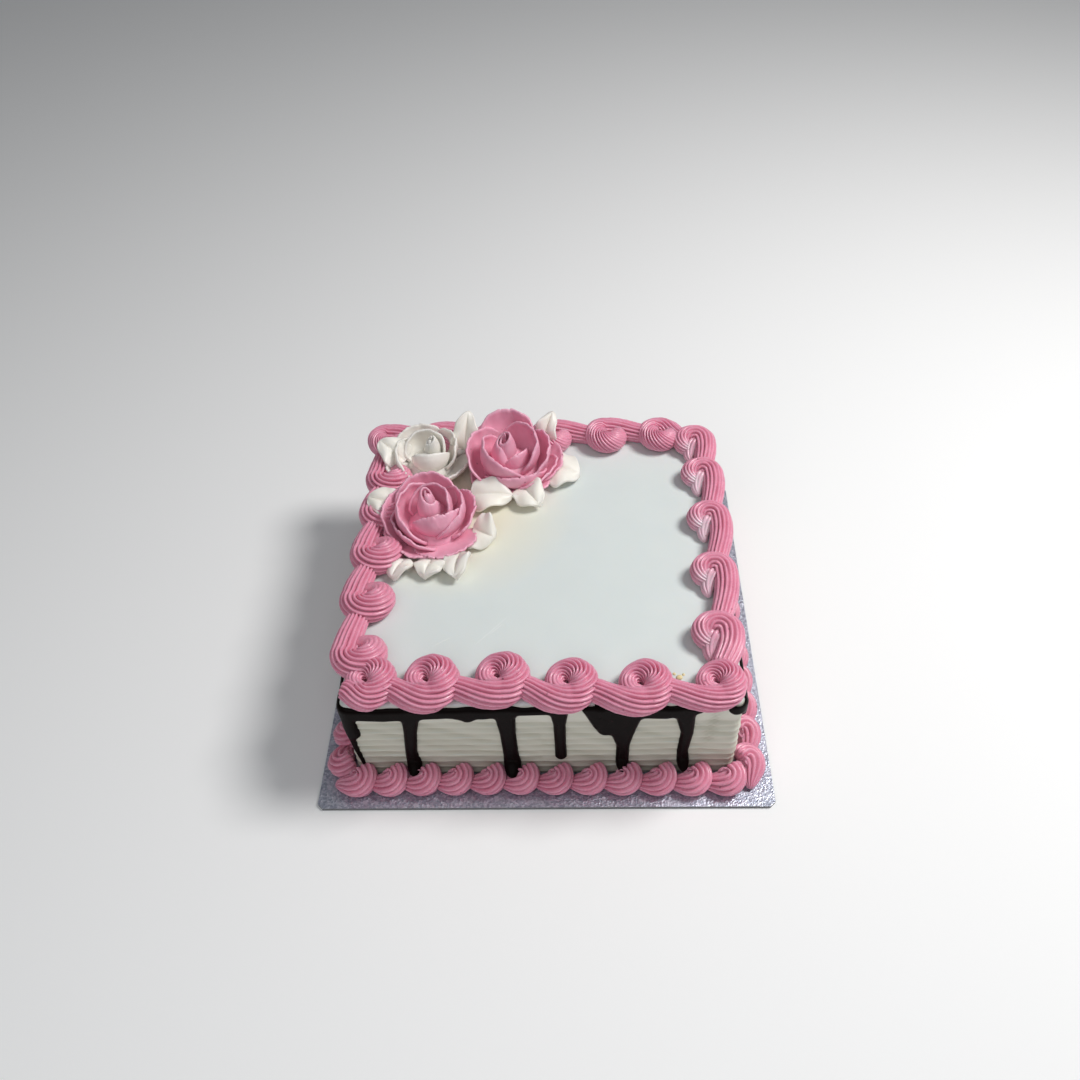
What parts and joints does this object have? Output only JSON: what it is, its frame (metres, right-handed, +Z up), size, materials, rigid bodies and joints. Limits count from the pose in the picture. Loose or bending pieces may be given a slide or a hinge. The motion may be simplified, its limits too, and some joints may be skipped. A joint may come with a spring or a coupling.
{
  "type": "square buttercream cake",
  "caption": "Square iced cake on a silver card, with a piped scroll border, dark chocolate drip over combed sides, a shell border at the foot, and piped roses with white leaves in one corner.",
  "frame": {"origin": "middle of the card's underside", "axes": "+Z up, -Y towards the front of the cake, +X to its right seen from the front"},
  "size_m": [0.254, 0.254, 0.1027],
  "materials": {
    "silver_card": "satin",
    "white_buttercream": "satin",
    "pink_buttercream": "satin",
    "dark_chocolate": "gloss"
  },
  "bodies": {
    "root": {"card": "silver_card", "cake": "white_buttercream", "foot_shells_back": "pink_buttercream", "foot_shells_right": "pink_buttercream", "foot_shells_front": "pink_buttercream", "foot_shells_left": "pink_buttercream", "rose_front": "pink_buttercream", "rose_back": "pink_buttercream", "rose_white": "white_buttercream", "scroll_01": "pink_buttercream", "scroll_02": "pink_buttercream", "scroll_03": "pink_buttercream", "scroll_04": "pink_buttercream", "scroll_05": "pink_buttercream", "scroll_06": "pink_buttercream", "scroll_07": "pink_buttercream", "scroll_08": "pink_buttercream", "scroll_09": "pink_buttercream", "scroll_10": "pink_buttercream", "scroll_11": "pink_buttercream", "scroll_12": "pink_buttercream", "scroll_13": "pink_buttercream", "scroll_14": "pink_buttercream", "scroll_15": "pink_buttercream", "scroll_16": "pink_buttercream", "scroll_17": "pink_buttercream", "scroll_18": "pink_buttercream", "scroll_19": "pink_buttercream", "scroll_20": "pink_buttercream", "scroll_21": "pink_buttercream", "scroll_22": "pink_buttercream", "leaf_01": "white_buttercream", "leaf_02": "white_buttercream", "leaf_03": "white_buttercream", "leaf_04": "white_buttercream", "leaf_05": "white_buttercream", "leaf_06": "white_buttercream", "leaf_07": "white_buttercream", "leaf_08": "white_buttercream", "leaf_09": "white_buttercream", "leaf_10": "white_buttercream", "leaf_11": "white_buttercream"}
  },
  "joints": []
}
